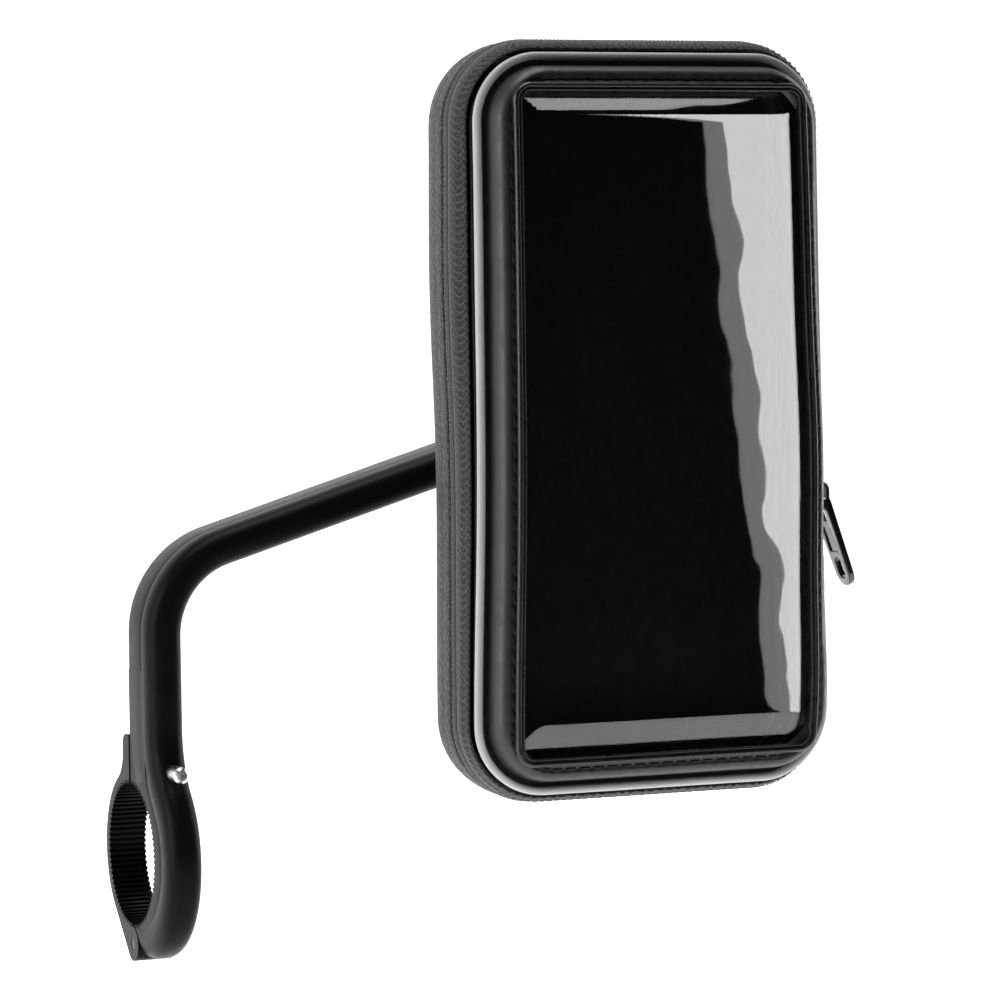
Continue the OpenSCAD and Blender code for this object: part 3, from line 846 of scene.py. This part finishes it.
def make_trim():
    """Folded edge that the clear sheet is sewn under: a ridge, then a thin lip beside the window."""
    path = rounded_path(TRIM_W, TRIM_H, 4.0, 0.8)
    profile = from_depth(RIM_D + CREST_H, (0.65, -1.7), (0.5, -0.8), (0.25, -0.2), (-0.15, 0),
                         (-0.5, -0.08), (-0.72, -0.45), (-0.82, -0.75), (-0.92, -0.45),
                         (-1.15, -0.2), (-1.45, -0.3), (-1.55, -0.9), (-1.3, -2.2), (-1.1, -4.2),
                         (-0.6, -4.4), (0.5, -3.6))
    # the folded edge wears the darker trim colour, painted shade for its inner wall
    dress(band("window_edge", path, profile), "trim", "lid", "border_leatherette", "window_trim")


# the flat of the window, as pressed by a phone: its sides, and how far and how wide the sheet
# falls beyond each
FLAT_LEFT, FLAT_RIGHT, FLAT_LOW, FLAT_HIGH = -31.5, 33.4, -71.5, 73.0
FALL_LEFT, FALL_RIGHT, FALL_END = 0.9, 0.1, 1.1
MARGIN_LEFT, MARGIN_RIGHT, MARGIN_END = 5.0, 2.4, 5.6


def sheet_depth(x, z):
    """Depth of the clear sheet: flat in the middle, falling to its sewn edge, with soft ripples."""
    left = max(FLAT_LEFT - x, 0.0) / MARGIN_LEFT
    right = max(x - FLAT_RIGHT, 0.0) / MARGIN_RIGHT
    end = max(FLAT_LOW - z, z - FLAT_HIGH, 0.0) / MARGIN_END
    fall = max(FALL_LEFT * left, FALL_RIGHT * right, FALL_END * end)
    slack = ramp((x - 2) / 26)
    ripple = 0.016 * slack * noise.noise(Vector((x / 18, z / 15, 3.0)))
    ripple += 0.0016 * slack * noise.noise(Vector((x / 5, z / 4.5, 9.0)))
    ripple += 0.03 * noise.noise(Vector((x / 60, z / 70, 1.0)))
    return SHEET_D - 0.1 - fall + ripple


def make_window():
    columns, rows = 77, 161
    half_w, half_h = TRIM_W / 2 - 0.9, TRIM_H / 2 - 0.9
    verts = [soft(x, z, sheet_depth(x, z) - thick) for thick in (0.0, 0.35)
             for z in spread(-half_h, half_h, rows) for x in spread(-half_w, half_w, columns)]
    window = new_object("clear_window", verts, two_layers(rows, columns), sharp=60)
    dress(window, "film", "lid", "window_pvc", "window_sheet")


def make_lining():
    """Woven lining behind the border, with a turned edge."""
    w, h = size("lid_lining", 0) - 1.5, size("lid_lining", 2) - 1.5
    back, front = depths("lid_lining")
    path = rounded_path(w, h, 17.5, 3.0)
    count = len(path)
    window = rounded_path(WINDOW_W, WINDOW_H, 2.8, 3.0)
    total = window[-1].s + window[1].s
    inner = [station_at(window, total * i / count)[:2] for i in range(count)]
    columns = 7
    verts = []
    for d in (front - 0.05, back + 0.1):
        for st, (inner_x, inner_z) in zip(path, inner):
            for x, z in zip(spread(st.x, inner_x, columns), spread(st.z, inner_z, columns)):
                verts.append(soft(x, z, d + 0.04 * math.sin(0.9 * x + 0.6 * z)))
    lining = new_object("cover_lining", verts, two_layers(count, columns, wrap=True), sharp=50)
    dress(lining, "lining", "lid", "lining_fabric", "lid_lining")


# ---- slider and puller

def plate(name, outlines, thickness, bevel):
    """A flat plate with rounded rims from closed outlines; inner outlines are holes."""
    curve = bpy.data.curves.new(name, "CURVE")
    curve.dimensions = "2D"
    curve.fill_mode = "BOTH"
    curve.extrude = (thickness / 2 - bevel) * MM
    curve.bevel_depth = bevel * MM
    curve.bevel_resolution = 3
    for outline in outlines:
        spline = curve.splines.new("POLY")
        spline.points.add(len(outline) - 1)
        for point, (x, y) in zip(spline.points, outline):
            point.co = (x * MM, y * MM, 0, 1)
        spline.use_cyclic_u = True
    temp = place(name + "_curve", curve)
    obj = place(name, evaluated(temp))
    bpy.data.objects.remove(temp)
    face_outwards(obj, weld=0.002)
    shade(obj, 40)
    return obj


def oval(x, y, half_w, half_h, points=28):
    """A slot with round ends, upright."""
    reach = half_h - half_w
    return [(x + half_w * math.cos(TAU * (k + 0.5) / points),
             y + half_w * math.sin(TAU * (k + 0.5) / points) + (reach if k < points / 2 else -reach))
            for k in range(points)]


def rounded_outline(x0, y0, x1, y1, r, steps=5):
    points = []
    corners = (x1 - r, y1 - r), (x0 + r, y1 - r), (x0 + r, y0 + r), (x1 - r, y0 + r)
    for quarter, (cx, cy) in enumerate(corners):
        for i in range(steps + 1):
            a = math.pi / 2 * (quarter + i / steps)
            points.append((cx + r * math.cos(a), cy + r * math.sin(a)))
    return points


def make_slider():
    """Slider body with its pull bridge; local x is along the zip and y towards the front."""
    (x0, x1), (z0, z1) = span("zip_slider", 0), span("zip_slider", 2)
    back, front = depths("zip_slider")
    middle_z, middle_d = (z0 + z1) / 2, (back + front) / 2
    half_l, half_w = (z1 - z0) / 2, (front - back) / 2
    side_x = CASE_X + SIDE_W / 2
    edge = [(-1, 0.55), (-0.8, 0.8), (0.2, 1), (0.75, 0.95), (1, 0.6)]
    edge += [(a, -b) for a, b in reversed(edge)]
    shield = [(half_l * a, -half_w * b) for a, b in edge]
    turn = Matrix(((0, 0, 1), (0, -1, 0), (1, 0, 0))).to_4x4()
    parts = []
    for x, thick in ((side_x + 1.25, 1.5), (x0 + 0.6, 1.2)):
        shell = plate("slider_plate", [shield], thick, 0.35)
        shell.matrix_world = Matrix.Translation(Vector((x, -middle_d, middle_z)) * MM) @ turn
        parts.append(shell)
    bridge_d = -JOINT_POINT["puller_swing"][1]
    low_x, top_x = side_x + 1.6, x1 - 0.35
    leg = [(low_x, 3.3), (low_x + 1.4, 3.25), (top_x - 0.5, 2.7), (top_x, 1.8)]
    arch = [(x, -z) for x, z in leg] + [(top_x + 0.05, 0.0)] + leg[::-1]
    wires = [[Vector((x, -bridge_d + shift, middle_z + z)) for x, z in arch]
             for shift in (-0.7, 0.0, 0.7)]
    parts.append(many_tubes("slider_bridge", wires, 0.5, 10))
    neck = [Vector((x, -ZIP_D, middle_z)) for x in (x0 + 0.5, side_x + 1.0)]
    parts.append(many_tubes("slider_neck", [neck], 0.24, 8))
    slider = join("slider", parts)
    shade(slider, 40)
    dress(slider, "enamel", "slider", "zip_metal", "zip_slider")


# how far the puller leans out from the case's side, in degrees
PULLER_LEAN = 20.0


def make_puller():
    """Pull tab: a plate with a sunk panel, an eye for the bridge and an oval hole at the tail."""
    half_w = size("zip_puller", 1) / 2
    length, tail_r = 22.0, 3.4
    sides = [(half_w - 0.4, 0.75), (half_w, 0.2), (half_w - 0.9, -length + tail_r)]
    tail = [(tail_r * math.cos(a), -length + tail_r + tail_r * math.sin(a))
            for a in (-math.pi * i / 18 for i in range(19))]
    outline = sides + tail + [(-x, y) for x, y in reversed(sides)]
    eye = rounded_outline(-1.9, -5.2, 1.9, -0.95, 0.7)
    panel = rounded_outline(-2.6, -13.4, 2.6, -6.2, 0.8)
    hole = oval(0.0, -17.4, 1.9, 3.1)
    rim = plate("puller_rim", [outline, eye, panel, hole], 1.6, 0.3)
    web = plate("puller_web", [[(x * 0.93, y * 0.985) for x, y in outline], eye, hole], 0.8, 0.15)
    bar = many_tubes("puller_bar", [[Vector((-2.3, 0, 0)), Vector((2.3, 0, 0))]], 0.75, 14)
    tab = join("puller", [rim, web, bar])
    stand = Matrix.Rotation(math.radians(-PULLER_LEAN), 4, "Y")
    turn = Matrix(((0, 0, 1), (1, 0, 0), (0, 1, 0))).to_4x4()
    tab.data.transform(Matrix.Translation(Vector(JOINT_POINT["puller_swing"]) * MM) @ stand @ turn)
    face_outwards(tab)
    shade(tab, 40)
    dress(tab, "enamel", "puller", "zip_metal", "zip_puller")


# ---- clamp and arm

# the arm as in the CAD model: the bar's radius; the arm's half width, front and nose; the jaw's
# outer radius, middle and depth; the bend from jaw to upright and the one from upright to upper
# arm; the boss and the round pocket in front of it; the pin, screw and tongue; the grip teeth
BAR_R = 17.5
ARM_HALF, ARM_FRONT, NOSE = 4.6, 18.3, 6.4
JAW_R, JAW_D, JAW_DEEP = 25.5, 6.0, 15.0
BLEND_R = 20.0
BEND_R, BEND_Z = 22.5, 54.6
ARM_RISE = math.radians(17)
BOSS_R, BOSS_D, POCKET_R = 12.0, 14.0, 13.5
PIN_Z, SCREW_Z = -22.5, 21.8
TONGUE_R, TONGUE_HALF = 4.3, 2.2
TEETH, TOOTH = 80, 0.8


def arm_frames():
    """Sections along the arm: a point on the front edge, the ways across and in, how deep."""
    right, inward = Vector((1, 0, 0)), Vector((0, 1, 0))
    blend_d = ARM_FRONT + BLEND_R
    lean = math.acos((blend_d - JAW_D) / (JAW_R + BLEND_R))
    blend_z = (JAW_R + BLEND_R) * math.sin(lean)
    low = math.radians(-112)

    def jaw(t):
        a = low + (lean - low) * t
        way_in = Vector((0, math.cos(a), -math.sin(a)))
        return Vector((0, -JAW_D, 0)) - way_in * JAW_R, right, way_in, JAW_DEEP

    def blend(t):
        a = lean * (1 - t)
        way_in = Vector((0, math.cos(a), -math.sin(a)))
        deep = JAW_DEEP + (ARM_FRONT - JAW_DEEP) * t
        return Vector((0, -blend_d, blend_z)) + way_in * BLEND_R, right, way_in, deep

    def upright(t):
        return Vector((0, -ARM_FRONT, blend_z + (BEND_Z - blend_z) * t)), right, inward, ARM_FRONT

    def bend(t):
        a = (math.pi / 2 - ARM_RISE) * t
        across = Vector((math.cos(a), 0, -math.sin(a)))
        return Vector((BEND_R, -ARM_FRONT, BEND_Z)) - across * BEND_R, across, inward, ARM_FRONT

    start, across, *_ = bend(1)
    rise = Vector((math.cos(ARM_RISE), 0, math.sin(ARM_RISE)))
    reach = (JOINT_POINT["ball_tilt"][0] - start.x) / rise.x

    def upper(t):
        return start + rise * (reach * t), across, inward, ARM_FRONT

    frames = [jaw(0)]
    for stretch, count in ((jaw, 60), (blend, 16), (upright, 8), (bend, 36), (upper, 24)):
        frames += [stretch(i / count) for i in range(1, count + 1)]
    return frames


def arm_section(deep):
    """Half widths and depths from the front edge: blunt nose, a crease behind it, a flat side."""
    steps, blunt = 14, 2 / 2.5
    turns = [math.pi / 2 * i / steps for i in range(1, steps)]
    half = [(ARM_HALF * math.sin(a) ** blunt, NOSE * (1 - math.cos(a) ** blunt)) for a in turns]
    side = deep - NOSE
    half += [(ARM_HALF - fall, NOSE + p) for fall, p in (
        (0.0, 0.0), (0.03, 0.4), (0.1, 0.8), (0.2, 1.2), (0.27, 1.6), (0.25, 2.0), (0.17, 2.5),
        (0.1, 3.2), (0.07, side - 0.8), (0.2, side - 0.25), (0.6, side))]
    return [(-a, p) for a, p in reversed(half)] + [(0, 0)] + half


def prism(name, outline, low, high, turn):
    """A prism: an outline of (x, y) extruded along z, then turned into place."""
    verts = [turn @ Vector((x, y, z)) for z in (low, high) for x, y in outline]
    return new_object(name, verts, capped(2, len(outline)), sharp=33)


def prism_x(name, outline, x0, x1, z=0.0):
    """A prism along X whose outline is (depth, z) about the point at depth 0 and height z."""
    turn = Matrix(((0, 0, 1, 0), (-1, 0, 0, 0), (0, 1, 0, z), (0, 0, 0, 1)))
    return prism(name, outline, x0, x1, turn)


def prism_d(name, outline, d0, d1, x, z):
    """A prism in the depth direction whose outline is (x, z) about a point."""
    turn = Matrix(((1, 0, 0, x), (0, 0, -1, 0), (0, 1, 0, z), (0, 0, 0, 1)))
    return prism(name, outline, d0, d1, turn)


def carve(obj, cutters):
    for tool in cutters:
        mod = obj.modifiers.new("carve", "BOOLEAN")
        mod.object = tool
        mod.operation = "DIFFERENCE"
        mod.solver = "EXACT"
    mesh = evaluated(obj)
    obj.modifiers.clear()
    obj.data = mesh


def make_arm():
    """The arm's moulding: swept nose and sides, the jaw's web, the boss, then the bore and holes."""
    verts = []
    for front, across, inward, deep in arm_frames():
        section = arm_section(deep)
        verts += [front + across * a + inward * p for a, p in section]
    sweep = new_object("arm_sweep", verts, capped(len(verts) // len(section), len(section)))
    joint_x, _, joint_z = JOINT_POINT["ball_tilt"]
    web = prism_x("arm_web", [(0.01, 14.0), (12.0, 14.0), (12.0, 46.0), (0.01, 46.0)], -4.5, 4.5)
    rim = [(BOSS_R - 0.4, 0.0), (BOSS_R, 0.4), (BOSS_R, BOSS_D - 0.4), (BOSS_R - 0.4, BOSS_D)]
    turns = 72
    verts = [Vector((x, -d, z)) for r, d in rim for x, z in circle(r, turns, joint_x, joint_z)]
    boss = new_object("arm_boss", verts, capped(len(rim), turns))
    tongue = prism_x("arm_tongue", circle(TONGUE_R, 64), -TONGUE_HALF, TONGUE_HALF, PIN_Z)

    groove = TAU / TEETH / 4
    teeth = []
    for i in range(TEETH):
        for turn, r in ((-groove - 0.01, BAR_R), (-groove * 0.8, BAR_R + TOOTH),
                        (groove * 0.8, BAR_R + TOOTH), (groove + 0.01, BAR_R)):
            a = TAU * (i + 0.5) / TEETH + turn
            teeth.append((r * math.cos(a), r * math.sin(a)))
    bore = prism_x("cut_bore", teeth, -9, 9)
    behind = prism_x("cut_behind", [(-30, -40), (0, -40), (0, 30), (-30, 30)], -9, 9)
    reliefs = [prism_x("cut_relief", circle(4.6, 64), x0, x1, PIN_Z)
               for x0, x1 in ((-9, -TONGUE_HALF), (TONGUE_HALF, 9))]
    pin = prism_x("cut_pin", circle(1.55, 32), -9, 9, PIN_Z)
    screw = prism_d("cut_screw", circle(2.15, 40), -5, 60, 0, SCREW_Z)
    insert = prism_d("cut_insert", circle(3.0, 40), -5, 8, 0, SCREW_Z)
    pocket = prism_d("cut_pocket", circle(POCKET_R, 96), BOSS_D, 40, joint_x, joint_z)
    stud = prism_d("cut_stud", circle(3.05, 40), -5, 40, joint_x, joint_z)
    carve(sweep, [behind, bore] + reliefs + [screw, pocket, stud])
    carve(web, [bore, screw, insert])
    carve(boss, [stud])
    carve(tongue, [bore, pin])
    for tool in [bore, behind, pin, screw, insert, pocket, stud] + reliefs:
        bpy.data.objects.remove(tool)
    arm = join("arm", [sweep, web, boss, tongue])
    shade(arm, 33)
    dress(arm, "arm", "arm", "arm_nylon", "clamp_arm")


# the CAD nodes that stay: material, and how far their edges are eased
HARD = {
    "clamp_cap": ("arm", 0.12), "clamp_screw": ("screw", 0.12), "hinge_pin": ("blackened", 0.15),
    "ball_stud": ("steel", 0.15), "stud_washer": ("steel", 0.12), "stud_nut": ("steel", 0.2),
    "screw_insert": ("brass", 0.08), "ball_cup": ("cup", 0.08), "socket_housing": ("joint", 0.25),
    "locking_collar": ("joint", 0.35), "retaining_ring": ("joint", 0.3), "ring_screws": ("steel", 0.1),
    "back_plate": ("joint", 0.4), "plate_screws": ("steel", 0.12), "backing_board": ("card", 0.15),
}


def finish_hard_parts():
    """Materials and eased edges for the CAD nodes that stay."""
    for name, (material, ease) in HARD.items():
        obj = frame["nodes"][name]
        obj.data.materials.clear()
        obj.data.materials.append(MATERIAL[material])
        weld = obj.modifiers.new("weld", "WELD")
        weld.merge_threshold = 0.002 * MM
        bevel = obj.modifiers.new("ease", "BEVEL")
        bevel.width = ease * MM
        bevel.segments = 2
        bevel.limit_method = "ANGLE"
        bevel.angle_limit = math.radians(35)
        flow = obj.modifiers.new("flow", "WEIGHTED_NORMAL")
        flow.keep_sharp = True


# ---- the whole object

make_camera()
make_floor()
MATERIAL = make_materials()
make_case_back()
make_zip()
make_coils()
make_pad()
make_front_band()
make_edge_cord()
make_piping()
make_border()
make_trim()
make_window()
make_lining()
make_hinge()
make_slider()
make_puller()
make_arm()
finish_hard_parts()
make_lights()
